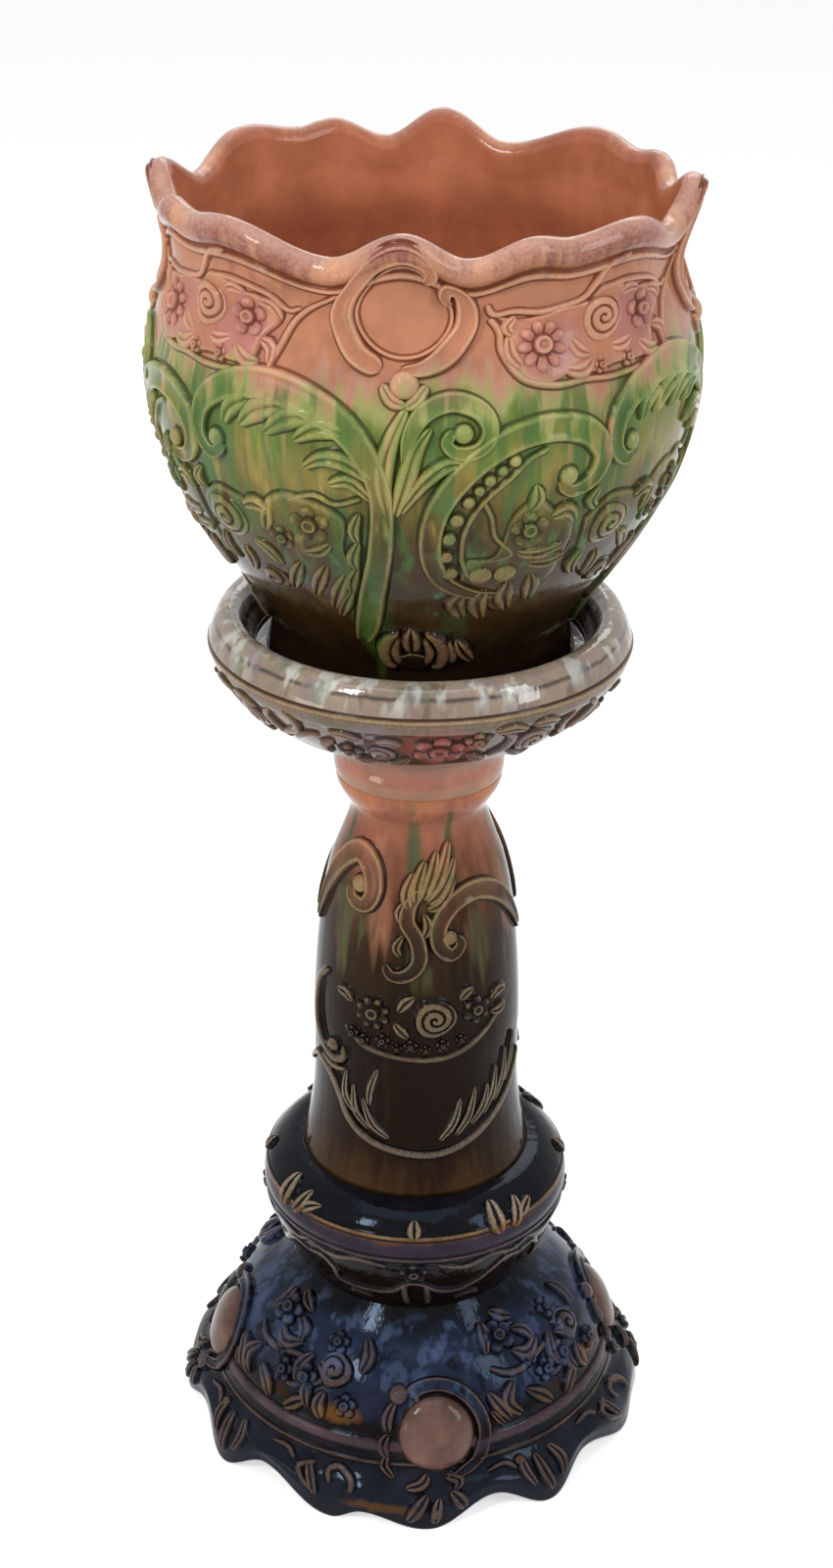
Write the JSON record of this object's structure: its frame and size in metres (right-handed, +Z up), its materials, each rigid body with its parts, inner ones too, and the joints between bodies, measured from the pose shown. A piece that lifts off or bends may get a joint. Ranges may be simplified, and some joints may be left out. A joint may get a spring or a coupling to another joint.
{
  "type": "jardiniere on stand",
  "caption": "Glazed ceramic jardiniere with a wavy rolled rim and raised scrollwork, standing loose in the dish of a tall hollow pedestal.",
  "frame": {"origin": "on the floor, on the pedestal's axis, under its foot", "axes": "+Z up along the axis; -Y is the front, the side that the picture shows; +X is to the right seen from the front"},
  "size_m": [0.3162, 0.3162, 0.84],
  "materials": {
    "bowl_glaze": "high-gloss majolica glaze, peach neck running through green to brown",
    "bowl_relief_glaze": "high-gloss majolica glaze, thin on the crests and pooled dark along the edges",
    "dish_glaze": "high-gloss mottled glaze with streaks",
    "column_glaze": "high-gloss glaze, pink above with green runs, near-black brown below",
    "pedestal_relief_glaze": "high-gloss brown glaze, thin and pale on the crests",
    "foot_glaze": "high-gloss near-black brown glaze",
    "medallion_glaze": "high-gloss brown-mauve glaze"
  },
  "bodies": {
    "pedestal": {"top_dish": "dish_glaze", "dish_sprays": "pedestal_relief_glaze", "column": "column_glaze", "column_scroll_frames": "pedestal_relief_glaze", "column_leaf_plumes": "pedestal_relief_glaze", "column_garlands": "pedestal_relief_glaze", "column_fronds": "pedestal_relief_glaze", "collar": "foot_glaze", "collar_leaves": "pedestal_relief_glaze", "foot": "foot_glaze", "foot_medallions": "medallion_glaze", "foot_medallion_frames": "pedestal_relief_glaze", "foot_shells": "pedestal_relief_glaze", "foot_flowers": "pedestal_relief_glaze"},
    "jardiniere": {"bowl": "bowl_glaze", "bowl_medallion_rings": "bowl_relief_glaze", "bowl_flower_sprays": "bowl_relief_glaze", "bowl_acanthus_scrolls": "bowl_relief_glaze", "bowl_leaf_curls": "bowl_relief_glaze", "bowl_beaded_scrolls": "bowl_relief_glaze", "bowl_lower_sprays": "bowl_relief_glaze", "bowl_roses": "bowl_relief_glaze", "bowl_foot_rosettes": "bowl_relief_glaze"}
  },
  "joints": [
    {"name": "jardiniere_lift", "type": "slide", "parent": "pedestal", "child": "jardiniere", "axis": [0, 0, 1], "range_m": [0, 0.12]}
  ]
}
